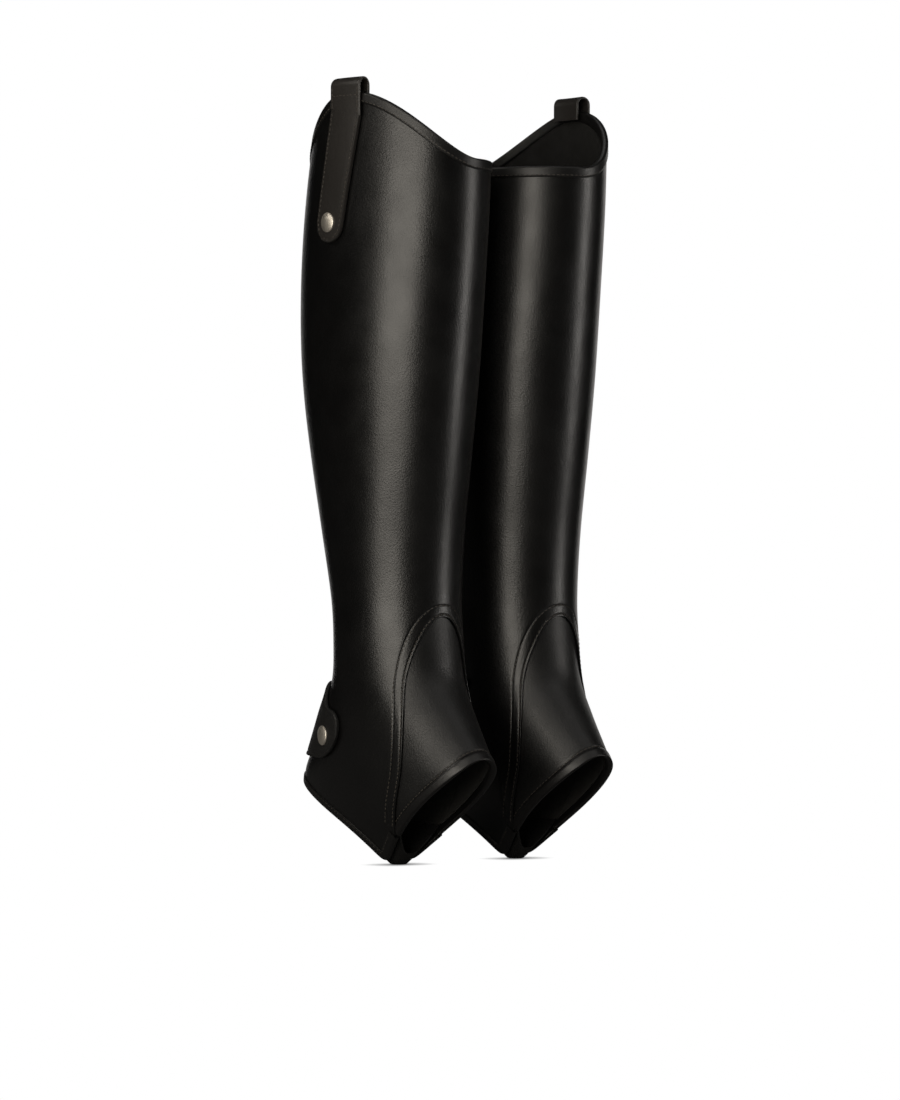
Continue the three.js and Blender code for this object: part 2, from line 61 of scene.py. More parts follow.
# Height, then the half depths in front and behind, and the half width, of the leg's section.
SECTIONS = np.array([
    [0, 88, 79, 9.5],
    [20, 88, 79.5, 20.5],
    [37, 87, 80, 27.5],
    [56, 83, 77, 31.5],
    [70, 74, 68.5, 33.5],
    [90, 60, 57, 35.5],
    [112, 46.5, 44.5, 36.5],
    [135, 42, 42.5, 37],
    [160, 40.2, 45.1, 36.8],
    [200, 42.3, 54.6, 38.4],
    [250, 48.6, 65.6, 41.4],
    [300, 54.4, 72.5, 44.5],
    [345, 59.1, 73.4, 45.4],
    [400, 64.2, 67.5, 46],
    [440, 66, 58.2, 46],
    [480, 66.6, 43, 46],
])
CALF_ARC = {"radius": 398, "height": 330, "ahead": 324.3, "from": 250}
RIM = {"low": 423, "rise": 41, "peak": 85, "half_span": 92}
SEAM = {"apex": 150, "spread": 83.5, "power": 1 / 0.48, "foot": 78}
VEE = {"floor": 4, "toe_rise": 62, "toe_power": 0.75, "heel_rise": 48, "heel_power": 0.52, "blunt": 0.05}
FREE_TURN = 106

# Layers, as distances outward from the leather's outer face.
LEATHER = (-1.5, 0)
LINING = (-2.5, -1.55)
INSTEP_LEATHER = (-3.0, -1.55)
INSTEP_LINING = (-3.9, -3.05)
TAPE = (-2.5, -1.7)
STRAP_LAYER = (0.25, 3.4)
TAB_LAYER = (0.3, 2.9)

BINDING = {"thickness": 0.8, "leg": 5.6, "arch": 0.55}
INSTEP_BINDING_LEG = 4.4
EDGE_TUCK = 8
EDGE_RADIUS = 0.4
UNEVEN = 0.06  # the height of the shaft leather's slow waves
CREASE = 48  # the angle, in degrees, from which an edge is sharp
LINING_SEAM = {"turn": 88, "width": 0.9, "depth": 0.5}
# The lining's colour is painted paler towards the foot: painted light inside the lower opening.
LINING_PAINTED_LIGHT = {"from": 230, "to": 110, "paler": 5.0}
SEAM_STITCH = (1.5, 7.0)  # stitch rows, up from the seam edge
PROBE = 0.4  # half the run over which a path's direction is taken
STITCH = {"pitch": 2.9, "length": 1.9, "radius": 0.34}

ZIP = {"leather_edge": 5, "tape_edge": 14, "bottom": 66, "top": 416, "pitch": 1.55}
TOOTH = {"length": 3.3, "radius": 0.56, "reach": 1.15, "offset": -0.9}
ZIP_STRIP = (-18, -5)
BACK_STRIPS = {"turn_per_mm": 0.8, "above_edge": 6, "below_rim": 1}
STRETCH_PANEL = (-50, -15)
STRETCH_OPENING = -44

STRAP = {"half_width": 12, "hinge": 452.5, "lean": 12.5, "length": 79, "ahead": 5.2, "snap": 67,
         "crown": 0.35}
STRAP_SEW = 1.9  # the stitch row's distance from the strap's edge
LOOP = {"top": 473.6, "inside_bottom": 459, "thickness": 1.7, "inner": -6.9, "sewn": 462.3}
# Reaches along the leather from the back seam, and heights; hinge and bent are two reaches on the tab.
TAB = {"anchor": -60, "hinge": -46, "bent": -12.0, "tip": 61, "top": 111, "middle": 88, "low": 64,
       "round": 15, "slope_from": 16, "edge": 1.1, "snap": (46, 78)}

# The snap cap's profile, as shares of its radius and heights, and the socket ring's, as radii and heights.
SNAP_RADIUS = 6
SNAP_DOME = [
    (0, -0.6), (0.8, -0.6), (1, -0.1), (1, 0.35), (0.975, 0.62), (0.93, 0.8), (0.86, 0.98), (0.74, 1.3),
    (0.58, 1.62), (0.4, 1.86), (0.2, 2.0), (0, 2.05),
]
SOCKET_RING = [(0, 0.5), (3.2, 0.5), (3.4, 0), (5.2, 0), (5.4, 0.2), (5.4, 0.6), (0, 0.6)]

# The elastic's run along the foot: at its flat, above the flat, and at its top edge; then its
# half section, out and z. Past its flat it lifts from the ground.
ELASTIC = {"top": 24, "lift": 6, "thickness": 1.4, "behind": (3.5, 8, 12), "ahead": (3.5, 10, 19)}
ELASTIC_LINE = [
    [0, 0], [1.8, 0], [3.4, 0.3], [5.4, 1.9], [7.3, 4.4], [9.6, 8], [12, 12.4], [14.6, 17.6], [17, 24],
]

# ---------- the leg's shape ----------


def smooth_column(column, z):
    """A column of SECTIONS as a smooth curve of height."""
    knots, values = SECTIONS[:, 0], SECTIONS[:, column]
    order = np.arange(len(knots))
    after, before = np.minimum(order + 1, order[-1]), np.maximum(order - 1, 0)
    slopes = (values[after] - values[before]) / (knots[after] - knots[before])
    k = np.clip(np.searchsorted(knots, z) - 1, 0, order[-1] - 1)
    span = knots[k + 1] - knots[k]
    share = (z - knots[k]) / span
    rise = values[k + 1] - values[k]
    slope_in, slope_out = slopes[k] * span, slopes[k + 1] * span
    bend = (3 * rise - 2 * slope_in - slope_out) * share**2
    twist = (slope_in + slope_out - 2 * rise) * share**3
    return values[k] + slope_in * share + bend + twist


def back_depth(z):
    over_arc = np.maximum(CALF_ARC["radius"] ** 2 - (z - CALF_ARC["height"]) ** 2, 0)
    arc = np.sqrt(over_arc) - CALF_ARC["ahead"]
    return np.where(z < CALF_ARC["from"], smooth_column(2, z), arc)


def skin(angle, z, offset):
    """Points a distance outward from the leather's outer face."""
    angle, z, offset = np.broadcast_arrays(*(np.asarray(v, float) for v in (angle, z, offset)))
    across = smooth_column(3, z)
    cos, sin = np.cos(np.radians(angle)), np.sin(np.radians(angle))
    depth = np.where(cos >= 0, smooth_column(1, z), back_depth(z))
    normal = np.stack([sin / across, cos / depth])
    normal /= np.linalg.norm(normal, axis=0)
    return np.stack([across * sin + offset * normal[0], depth * cos + offset * normal[1], z], axis=-1)


def back_angle(reach, z):
    """How far round from the back seam, in degrees, a distance along the leather reaches."""
    across, depth = smooth_column(3, z), back_depth(z)
    pieces = 16
    angle = np.zeros_like(across)
    for _ in range(pieces):
        angle = angle + reach / pieces / np.hypot(across * np.cos(angle), depth * np.sin(angle))
    return np.degrees(angle)


def back_point(reach, z, offset):
    reach, z = np.asarray(reach, float), np.asarray(z, float)
    angle = 180 - back_angle(np.abs(reach), z)
    return skin(np.where(reach < 0, -angle, angle), z, offset)


def squeeze(outer_reach, inner_reach):
    """Round the leg between two edges beside the back seam: past FREE_TURN it is squeezed to fit."""
    def squeezed(turn, z):
        turn, z = np.asarray(turn, float), np.asarray(z, float)
        whole = 180 - FREE_TURN
        room = whole - back_angle(np.where(turn > 0, outer_reach, inner_reach), z)
        past = np.maximum(np.abs(turn) - FREE_TURN, 0)
        return np.sign(turn) * (np.minimum(np.abs(turn), FREE_TURN) + past * room / whole)
    return squeezed


def unsqueezed(turn, z):
    return turn + 0 * z


def wrap(squeezed):
    """Points of a squeezed turn round the leg."""
    def place(turn, z, offset):
        return skin(squeezed(turn, z), z, offset)
    return place


TO_ZIP = squeeze(ZIP["leather_edge"], ZIP["leather_edge"])
TO_STRETCH = squeeze(ZIP["leather_edge"], -STRETCH_OPENING)
INSIDE_ZIP = squeeze(ZIP["tape_edge"] - 2, -STRETCH_PANEL[0] - 2)

# ---------- edges ----------


def rim_height(angle):
    away = np.minimum(np.abs(angle - RIM["peak"]) / RIM["half_span"], 1)
    return RIM["low"] + RIM["rise"] * np.cos(away * math.pi / 2) ** 2


def lower_edge(angle):
    cosine = np.cos(np.radians(angle))
    toe = cosine > 0
    rise = np.where(toe, VEE["toe_rise"], VEE["heel_rise"])
    power = np.where(toe, VEE["toe_power"], VEE["heel_power"])
    lowest, highest = VEE["blunt"] ** power, math.hypot(1, VEE["blunt"]) ** power
    return VEE["floor"] + rise * (np.hypot(cosine, VEE["blunt"]) ** power - lowest) / (highest - lowest)


def seam_height(angle):
    return SEAM["apex"] * (1 - (np.abs(angle) / SEAM["spread"]) ** SEAM["power"])


def edge_slope(edge, angle):
    """The run along the leather of a degree, and the edge's rise over its run."""
    probe = 0.5
    z = edge(angle)
    step = skin(angle + probe, z, 0) - skin(angle - probe, z, 0)
    run = np.hypot(step[..., 0], step[..., 1])
    return run, (edge(angle + probe) - edge(angle - probe)) / run


def over(edge, squeezed):
    """An edge's height over a squeezed turn round the leg."""
    def height(turn):
        z = edge(turn)
        for _ in range(4):
            z = edge(squeezed(turn, z))
        return z
    return height


def edge_point(edge, squeezed):
    """Points beside an edge: above is measured square to it in the leather."""
    def place(turn, above, offset):
        z = over(edge, squeezed)(turn)
        angle = squeezed(turn, z)
        run, slope = edge_slope(edge, angle)
        slant = np.hypot(1, slope)
        return skin(angle - above * slope / slant / run, z + above / slant, offset)
    return place


def strap_side(ahead, z, offset):
    """A point on the outer side by its distance ahead of the leg axis."""
    ahead, z = np.broadcast_arrays(np.asarray(ahead, float), np.asarray(z, float))
    depth = np.where(ahead >= 0, smooth_column(1, z), back_depth(z))
    return skin(np.degrees(np.arccos(ahead / depth)), z, offset)


def strap_point(down, across, offset):
    """A point on the strap: down is measured from its hinge, across is towards the toe."""
    lean = math.radians(STRAP["lean"])
    ahead = STRAP["ahead"] - down * math.sin(lean) + across * math.cos(lean)
    z = STRAP["hinge"] - down * math.cos(lean) - across * math.sin(lean)
    return strap_side(ahead, z, offset)


# ---------- meshes ----------


def to_frame(side, points):
    """Millimetres in the wearer's terms to metres in the frame."""
    out, ahead, z = points[..., 0], points[..., 1], points[..., 2]
    return np.stack([side * (out + LEG_SPACING / 2), AXIS_SETBACK - ahead, z], axis=-1) * MM


def signed_volume(points, faces):
    return sum(np.einsum("ij,ij->i", points[q[:, 0]], np.cross(points[q[:, k]], points[q[:, k + 1]])).sum()
               for q in faces for k in range(1, q.shape[1] - 1))


def make_mesh(name, points, faces, material):
    """A mesh object from points (n, 3) and a list of face arrays, its faces turned outward."""
    if signed_volume(points, faces) < 0:
        faces = [q[:, ::-1] for q in faces]
    mesh = bpy.data.meshes.new(name)
    mesh.from_pydata(points.tolist(), [], [f for q in faces for f in q.tolist()])
    mesh.polygons.foreach_set("use_smooth", [True] * len(mesh.polygons))
    mesh.set_sharp_from_angle(angle=math.radians(CREASE))
    mesh.materials.append(material)
    made = bpy.data.objects.new(name, mesh)
    bpy.context.scene.collection.objects.link(made)
    return made


def grid_faces(rows, columns, closed):
    """Quads of a grid of points, whose columns may close on themselves."""
    i, k = np.meshgrid(np.arange(rows - 1), np.arange(columns if closed else columns - 1), indexing="ij")
    i, k = i.ravel(), k.ravel()
    beside = (k + 1) % columns
    return np.stack([i * columns + k, i * columns + beside, (i + 1) * columns + beside,
                     (i + 1) * columns + k], axis=1)


def ring_caps(rows, size):
    """Quads across each end of a swept band: a path out and a second path of as many points back."""
    k = np.arange(size // 2 - 1)
    first = np.stack([k, size - 1 - k, size - 2 - k, k + 1], axis=1)
    return [first, (first + (rows - 1) * size)[:, ::-1]]


def swept(stations, rings, place):
    """Points and faces of a band of (offset, height) rings carried along the stations."""
    stations = np.asarray(stations, float)
    rings = np.broadcast_to(rings, (len(stations), *np.shape(rings)[-2:]))
    points = place(stations[:, None], rings[..., 1], rings[..., 0])
    size = rings.shape[1]
    faces = [grid_faces(len(stations), size, True), *ring_caps(len(stations), size)]
    return points.reshape(-1, 3), faces


def sweep(name, side, stations, rings, place, material):
    points, faces = swept(stations, rings, place)
    return make_mesh(name, to_frame(side, points), faces, material)


EDGE_STEPS = np.array([0, 0.12, 0.3, 0.6, 1.0])  # of the edge's radius


def rounded(distance, radius):
    """A sheet's share of its thickness at a distance from its edge."""
    near = np.clip(distance / radius, 0, 1)
    return 0.2 + 0.8 * np.sqrt(1 - (1 - near) ** 2)


def sheet_rings(low, high, rows, layer, radius, relief=None, edge_rows=(), slants=(1, 1)):
    """Rings of a sheet with rounded edges. Low and high are its edges' heights at each station.

    edge_rows are distances from both edges, square to them, that get a row of their own, and
    relief(distance from low, distance from high) lifts the outer face.
    """
    low, high = np.atleast_1d(low)[:, None], np.atleast_1d(high)[:, None]
    slant_low, slant_high = (np.reshape(s, (-1, 1)) * np.ones_like(low) for s in slants)
    near = np.concatenate([EDGE_STEPS * radius, edge_rows])
    room = 0.46 * (high - low)
    up = np.minimum(near * slant_low, room * (near / near[-1]))
    down = np.minimum(near * slant_high, room * (near / near[-1]))
    first, last = low + up[:, -1:], high - down[:, -1:]
    middle = first + (last - first) * np.linspace(0, 1, rows + 1)[1:-1]
    heights = np.concatenate([low + up, middle, (high - down)[:, ::-1]], axis=1)
    from_low, from_high = (heights - low) / slant_low, (high - heights) / slant_high
    share = rounded(np.minimum(from_low, from_high), radius)
    centre, half = (layer[0] + layer[1]) / 2, (layer[1] - layer[0]) / 2
    lift = 0 if relief is None else relief(from_low, from_high)
    outside = np.stack([centre + half * share + lift, heights], axis=-1)
    inside = np.stack([centre - half * share, heights], axis=-1)
    return np.concatenate([outside, inside[:, ::-1]], axis=1)


def groove(distance, at, depth=0.28, width=0.42):
    return -depth * np.exp(-(((distance - at) / width) ** 2))


def capsule(length, radius, sides=6):
    """Points of a round-ended rod along X, and its faces."""
    stations = np.array([-0.5, -0.42, -0.25, 0.25, 0.42, 0.5]) * length
    girth = np.array([0.35, 0.8, 1, 1, 0.8, 0.35]) * radius
    turn = np.arange(sides) * 2 * math.pi / sides
    points = np.stack([
        np.repeat(stations, sides),
        np.outer(girth, np.cos(turn)).ravel(),
        np.outer(girth, np.sin(turn)).ravel(),
    ], axis=1)
    ends = np.arange(sides)[None, :]
    last = (len(stations) - 1) * sides
    return points, [grid_faces(len(stations), sides, True), ends[:, ::-1], ends + last]


def lay(template, origins, along, outward):
    """Copies of a template, its X along a path and its Z outward, at each origin."""
    points, faces = template
    x = along / np.linalg.norm(along, axis=1, keepdims=True)
    y = np.cross(outward, x)
    y /= np.linalg.norm(y, axis=1, keepdims=True)
    z = np.cross(x, y)
    axes = np.stack([x, y, z], axis=1)
    placed = origins[:, None, :] + np.einsum("pk,nkc->npc", points, axes)
    shift = (np.arange(len(origins)) * len(points))[:, None, None]
    return placed.reshape(-1, 3), [(q[None] + shift).reshape(-1, q.shape[1]) for q in faces]


def join_parts(parts):
    """Points and faces of several parts as one."""
    points, faces, start = [], [], 0
    for part_points, part_faces in parts:
        points.append(part_points)
        faces += [q + start for q in part_faces]
        start += len(part_points)
    return np.concatenate(points), faces


def interpolate(at, length, values):
    """Vectors at distances along a path, from the vectors at its own distances."""
    return np.stack([np.interp(at, length, values[:, k]) for k in range(3)], axis=1)


def walk(path, pitch):
    """Evenly spaced places along a dense path, their distances along it, and its own distances."""
    steps = np.linalg.norm(np.diff(path, axis=0), axis=1)
    length = np.concatenate([[0], np.cumsum(steps)])
    count = max(1, round(length[-1] / pitch))
    at = (np.arange(count) + 0.5) / count * length[-1]
    return interpolate(at, length, path), at, length


def stitch_row(place, us, vs, offset):
    """One row of stitches along u, v pairs of a place function."""
    us, vs = np.broadcast_arrays(np.asarray(us, float), np.asarray(vs, float))
    path, above = place(us, vs, offset), place(us, vs, offset + 1)
    origins, at, length = walk(path, STITCH["pitch"])
    outward = interpolate(at, length, above - path)
    along = interpolate(at + PROBE, length, path) - interpolate(at - PROBE, length, path)
    return lay(capsule(STITCH["length"], STITCH["radius"]), origins, along, outward)


def lathe(profile, sides=48):
    """Points and faces of a profile of (radius, height) pairs turned about Z, closed on the axis."""
    turn = np.arange(sides) * 2 * math.pi / sides
    rings = [[r * math.cos(a), r * math.sin(a), h] for r, h in profile[1:-1] for a in turn]
    points = np.array([[0, 0, profile[0][1]], *rings, [0, 0, profile[-1][1]]])
    k = np.arange(sides)
    beside = (k + 1) % sides
    last = 1 + (len(profile) - 3) * sides
    tips = [np.stack([0 * k, 1 + beside, 1 + k], axis=1),
            np.stack([0 * k + len(points) - 1, last + k, last + beside], axis=1)]
    return points, [grid_faces(len(profile) - 2, sides, True) + 1, *tips]


# ---------- materials ----------


class Nodes:
    """A material's node tree, with short calls for what every material here uses."""

    def __init__(self, name):
        self.material = bpy.data.materials.new(name)
        self.material.use_nodes = True
        self.tree = self.material.node_tree
        self.shader = self.tree.nodes["Principled BSDF"]
        self.place = self.add("ShaderNodeTexCoord").outputs["Object"]

    def add(self, kind, **settings):
        node = self.tree.nodes.new(kind)
        for key, value in settings.items():
            setattr(node, key, value)
        return node

    def link(self, source, target):
        self.tree.links.new(source, target)

    def noise(self, per_metre, detail):
        node = self.add("ShaderNodeTexNoise")
        node.inputs["Scale"].default_value = per_metre
        node.inputs["Detail"].default_value = detail
        self.link(self.place, node.inputs["Vector"])
        return node.outputs["Fac"]

    def cells(self, per_metre):
        node = self.add("ShaderNodeTexVoronoi", feature="SMOOTH_F1")
        node.inputs["Scale"].default_value = per_metre
        self.link(self.place, node.inputs["Vector"])
        return node.outputs["Distance"]

    def ribs(self, per_metre, direction):
        node = self.add("ShaderNodeTexWave", bands_direction=direction)
        node.inputs["Scale"].default_value = per_metre
        node.inputs["Distortion"].default_value = 0.6
        self.link(self.place, node.inputs["Vector"])
        return node.outputs["Fac"]

    def range(self, source, low, high, target, from_low=0.3, from_high=0.7):
        node = self.add("ShaderNodeMapRange")
        node.inputs["From Min"].default_value = from_low
        node.inputs["From Max"].default_value = from_high
        node.inputs["To Min"].default_value = low
        node.inputs["To Max"].default_value = high
        self.link(source, node.inputs["Value"])
        self.link(node.outputs["Result"], target)

    def mix(self, source, low, high):
        node = self.add("ShaderNodeMix", data_type="RGBA")
        node.inputs["A"].default_value = (*low, 1)
        node.inputs["B"].default_value = (*high, 1)
        self.link(source, node.inputs["Factor"])
        return node.outputs["Result"]

    def colours(self, source, low, high):
        self.link(self.mix(source, low, high), self.shader.inputs["Base Color"])

    def painted_light_colours(self, source, low, high):
        """Colours painted paler on the way down between two heights: painted light on the lining's lower
        inside.
        """
        parts = self.add("ShaderNodeSeparateXYZ")
        self.link(self.place, parts.inputs["Vector"])
        both = self.add("ShaderNodeMix", data_type="RGBA")
        top, foot, gain = LINING_PAINTED_LIGHT["from"] * MM, LINING_PAINTED_LIGHT["to"] * MM, LINING_PAINTED_LIGHT["paler"]
        self.range(parts.outputs["Z"], 1, 0, both.inputs["Factor"], foot, top)
        paler = self.mix(source, [v * gain for v in low], [v * gain for v in high])
        self.link(self.mix(source, low, high), both.inputs["A"])
        self.link(paler, both.inputs["B"])
        self.link(both.outputs["Result"], self.shader.inputs["Base Color"])

    def bumps(self, *layers):
        """Bump layers of (source, height in millimetres), the last one on top."""
        below = None
        for source, height in layers:
            node = self.add("ShaderNodeBump")
            node.inputs["Distance"].default_value = height * MM
            self.link(source, node.inputs["Height"])
            if below is not None:
                self.link(below, node.inputs["Normal"])
            below = node.outputs["Normal"]
        self.link(below, self.shader.inputs["Normal"])

    def set(self, **values):
        for key, value in values.items():
            self.shader.inputs[key.replace("_", " ")].default_value = value
        return self.material


def leather(name, low, high, roughness, grain):
    """Smooth calf leather: a fine pore grain, faint creasing and slightly uneven gloss."""
    n = Nodes(name)
    broad = n.noise(14, 2)
    n.colours(broad, low, high)
    n.range(n.noise(55, 4), roughness - 0.03, roughness + 0.04, n.shader.inputs["Roughness"])
    n.bumps((n.noise(38, 2), 0.12), (n.cells(1100), 0.035 * grain), (n.noise(2600, 2), 0.02 * grain))
    return n.set(Specular_IOR_Level=0.5)


def suede(name, low, high):
    """A matt lining, its colour painted paler towards the foot: painted light inside the lower opening."""
    n = Nodes(name)
    n.painted_light_colours(n.noise(260, 5), low, high)
    n.range(n.noise(90, 3), 0.78, 0.95, n.shader.inputs["Roughness"])
    n.bumps((n.noise(900, 4), 0.06), (n.noise(3000, 2), 0.03))
    return n.set(Specular_IOR_Level=0.35)


def webbing(name, low, high, per_metre, direction):
    n = Nodes(name)
    n.colours(n.noise(400, 4), low, high)
    n.range(n.noise(150, 3), 0.7, 0.9, n.shader.inputs["Roughness"])
    n.bumps((n.ribs(per_metre, direction), 0.12), (n.noise(2400, 3), 0.04))
    return n.set(Specular_IOR_Level=0.3)


def metal(name, low, high, roughness):
    n = Nodes(name)
    n.colours(n.noise(200, 3), low, high)
    n.range(n.noise(900, 3), roughness - 0.05, roughness + 0.08, n.shader.inputs["Roughness"])
    n.bumps((n.noise(1500, 3), 0.01))
    return n.set(Metallic=1.0)


def thread(name, low, high):
    n = Nodes(name)
    n.colours(n.noise(800, 3), low, high)
    n.range(n.noise(1500, 2), 0.4, 0.6, n.shader.inputs["Roughness"])
    n.bumps((n.ribs(1400, "DIAGONAL"), 0.06))
    return n.set(Specular_IOR_Level=0.45)


LEATHER_LOOK = leather("smooth_calf_leather", (0.0020, 0.0020, 0.0021), (0.0036, 0.0035, 0.0034), 0.33, 1.7)
INSTEP_LOOK = leather("instep_calf_leather", (0.0022, 0.0022, 0.0022), (0.0040, 0.0039, 0.0038), 0.44, 2.2)
BINDING_LOOK = leather("binding_leather", (0.0026, 0.0025, 0.0025), (0.0048, 0.0045, 0.0043), 0.40, 1.4)
# The strap and loop are the same black leather as the shaft, their colour painted many times paler: painted
# light on them.
STRAP_PAINTED_LIGHT_LOOK = leather("strap_leather_painted_light", (0.017, 0.0157, 0.0145), (0.026, 0.0235, 0.0215), 0.40, 1.2)
LINING_LOOK = suede("matt_lining", (0.006, 0.0058, 0.0055), (0.010, 0.0097, 0.0092))
TAB_LOOK = leather("brushed_tab_leather", (0.0024, 0.0024, 0.0024), (0.0048, 0.0047, 0.0046), 0.62, 2.5)
ELASTIC_LOOK = webbing("ribbed_elastic", (0.003, 0.003, 0.003), (0.006, 0.006, 0.006), 260, "Y")
STRETCH_LOOK = webbing("stretch_gore", (0.004, 0.004, 0.004), (0.008, 0.008, 0.008), 190, "X")
TAPE_LOOK = webbing("zip_tape_weave", (0.007, 0.007, 0.007), (0.012, 0.012, 0.012), 420, "Z")
TEETH_LOOK = thread("zip_coil", (0.010, 0.010, 0.0105), (0.016, 0.016, 0.0165))
THREAD_LOOK = thread("waxed_thread", (0.042, 0.037, 0.031), (0.066, 0.058, 0.049))
SNAP_LOOK = metal("warm_nickel", (0.74, 0.69, 0.61), (0.86, 0.81, 0.72), 0.46)
ZIP_METAL_LOOK = metal("black_nickel", (0.06, 0.058, 0.055), (0.10, 0.097, 0.092), 0.28)

# ---------- one gaiter's pieces ----------


class Gaiter:
    """Builds the pieces of one gaiter and puts each on its body."""

    def __init__(self, name):
        self.name = name
        self.side = SIDES[name]

    def keep(self, piece, body, slot, *replaced):
        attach(piece, f"{self.name}_{body}")
        if replaced:
            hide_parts(*(f"{self.name}_{node}" for node in replaced))

    def sheet(self, label, stations, rings, place, look, slot, *replaced, body="gaiter"):
        made = sweep(f"{self.name}_{label}_piece", self.side, stations, rings, place, look)
        self.keep(made, body, slot, *replaced)

    def parts(self, label, parts, look, slot, *replaced, body="gaiter"):
        points, faces = join_parts(parts)
        made = make_mesh(f"{self.name}_{label}_piece", to_frame(self.side, points), faces, look)
        self.keep(made, body, slot, *replaced)


TURNS = np.concatenate([
    np.linspace(-180, -FREE_TURN, 44)[:-1],
    np.linspace(-FREE_TURN, FREE_TURN, 151),
    np.linspace(FREE_TURN, 180, 44)[1:],
])


def beside_foot(short, count):
    """Angles across the front, that end short of the seam's foot on both sides."""
    return np.linspace(short - SEAM["foot"], SEAM["foot"] - short, count)


SEAM_ROWS = np.array([1.0, 1.3, 1.5, 1.7, 2.0, 2.6, 3.6, 4.8, 6.0, 6.5, 6.8, 7.0, 7.2, 7.5, 8.0, 9.2, 11])


def undulation(turn, z):
    """The leather's own slow unevenness."""
    t = np.radians(turn)
    waves = np.sin(2 * t + z / 46 + 0.6) + 0.7 * np.sin(3 * t - z / 31 + 2.1) + 0.5 * np.sin(5 * t + z / 23)
    return UNEVEN * waves


def shaft(g):
    instep = np.abs(TURNS) < SEAM["foot"]
    seam_slant = np.hypot(1, edge_slope(seam_height, TURNS)[1])
    low_angle = TO_STRETCH(TURNS, over(lower_edge, TO_STRETCH)(TURNS))
    vee_slant = np.hypot(1, edge_slope(lower_edge, low_angle)[1])
    rim_slant = np.hypot(1, edge_slope(rim_height, TO_STRETCH(TURNS, RIM["low"]))[1])
    low = np.where(instep, seam_height(TURNS), over(lower_edge, TO_STRETCH)(TURNS))
    high = over(rim_height, TO_STRETCH)(TURNS)
    slants = (np.where(instep, seam_slant, np.minimum(vee_slant, 3)), rim_slant)

    def relief(from_low, from_high):
        seams = sum(groove(from_low, at) for at in SEAM_STITCH)
        return np.where(instep[:, None], seams, 0)

    rings = sheet_rings(low, high, 150, LEATHER, EDGE_RADIUS, relief, SEAM_ROWS, slants)
    rings[..., 0] += undulation(TURNS[:, None], rings[..., 1])
    g.sheet("shaft", TURNS, rings, wrap(TO_STRETCH), LEATHER_LOOK, "calf_leather", "shaft_leather")


def instep(g):
    angles = beside_foot(1, 125)
    low, high = lower_edge(angles), seam_height(angles) + EDGE_TUCK
    slants = (np.hypot(1, edge_slope(lower_edge, angles)[1]), 1)

    def relief(from_low, from_high):
        return groove(from_low, INSTEP_BINDING_LEG + 0.6)

    rows = np.array([1, 2.5, 4, 4.5, 4.8, 5.0, 5.2, 5.6, 6.2, 7.5])
    rings = sheet_rings(low, high, 44, INSTEP_LEATHER, 0.6, relief, rows, slants)
    g.sheet("instep", angles, rings, skin, INSTEP_LOOK, "calf_leather", "instep_leather")


def linings(g):
    high = over(rim_height, INSIDE_ZIP)(TURNS)
    vee = over(lower_edge, INSIDE_ZIP)(TURNS) + 2
    low = np.where(np.abs(TURNS) < SEAM["foot"], seam_height(TURNS) + 6, vee)
    rings = sheet_rings(low, high - 0.5, 66, LINING, EDGE_RADIUS)
    dent = -groove(TURNS, LINING_SEAM["turn"], LINING_SEAM["depth"], LINING_SEAM["width"])
    rings[:, rings.shape[1] // 2:, 0] += dent[:, None]
    g.sheet("lining", TURNS, rings, wrap(INSIDE_ZIP), LINING_LOOK, "lining_leather", "calf_lining")
    angles = beside_foot(1.5, 103)
    rings = sheet_rings(lower_edge(angles) + 2, seam_height(angles) + 5, 24, INSTEP_LINING, EDGE_RADIUS)
    g.sheet("instep_lining", angles, rings, skin, LINING_LOOK, "lining_leather", "instep_lining")


def binding_ring(stack, leg, up):
    """The section of a tape folded over an edge, as (offset, height above the edge)."""
    thickness, arch = BINDING["thickness"], BINDING["arch"]
    inner, outer = stack
    centre, half = (inner + outer) / 2, (outer - inner) / 2

    def fold(radius, height, taper):
        turn = np.linspace(0, math.pi, 9)
        over_top = np.stack([centre + radius * np.cos(turn), height + radius * arch * np.sin(turn)], axis=1)
        down = np.linspace(-leg, -0.4, 7)
        swell = taper * np.exp(-((down + leg) / 0.5) ** 2)
        outside = np.stack([centre + radius - swell, down], axis=1)
        inside = np.stack([centre - radius + swell, down], axis=1)[::-1]
        return np.concatenate([outside, over_top, inside])

    ring = np.concatenate([fold(half + thickness, 0, 0.55), fold(half + 0.02, 0, 0)[::-1]])
    return ring * [1, up]


def bindings(g):
    top = edge_point(rim_height, TO_ZIP)
    ring = binding_ring((LINING[0], LEATHER[1]), BINDING["leg"], 1)
    g.sheet("top_binding", TURNS, ring, top, BINDING_LOOK, "edge_binding", "top_binding")
    angles = beside_foot(0.5, 157)
    ring = binding_ring((INSTEP_LINING[0] + 0.3, INSTEP_LEATHER[1]), INSTEP_BINDING_LEG, -1)
    front = edge_point(lower_edge, unsqueezed)
    g.sheet("instep_binding", angles, ring, front, BINDING_LOOK, "edge_binding", "instep_binding")
    ring = binding_ring((LINING[0], LEATHER[1]), BINDING["leg"] - 1, -1)
    back = edge_point(lower_edge, TO_ZIP)
    for hand, label in ((1, "outer"), (-1, "inner")):
        turns = hand * np.concatenate([np.linspace(SEAM["foot"] + 0.5, 100, 44), np.linspace(101, 180, 60)])
        piece = f"heel_binding_{label}"
        g.sheet(piece, turns, ring, back, BINDING_LOOK, "edge_binding", piece)


def round_end(down, inset=0):
    """Half the strap's width, less an inset, with its round end."""
    past = np.maximum(down - (STRAP["length"] - STRAP["half_width"]), 0)
    return np.sqrt(np.maximum((STRAP["half_width"] - inset) ** 2 - past**2, 0))


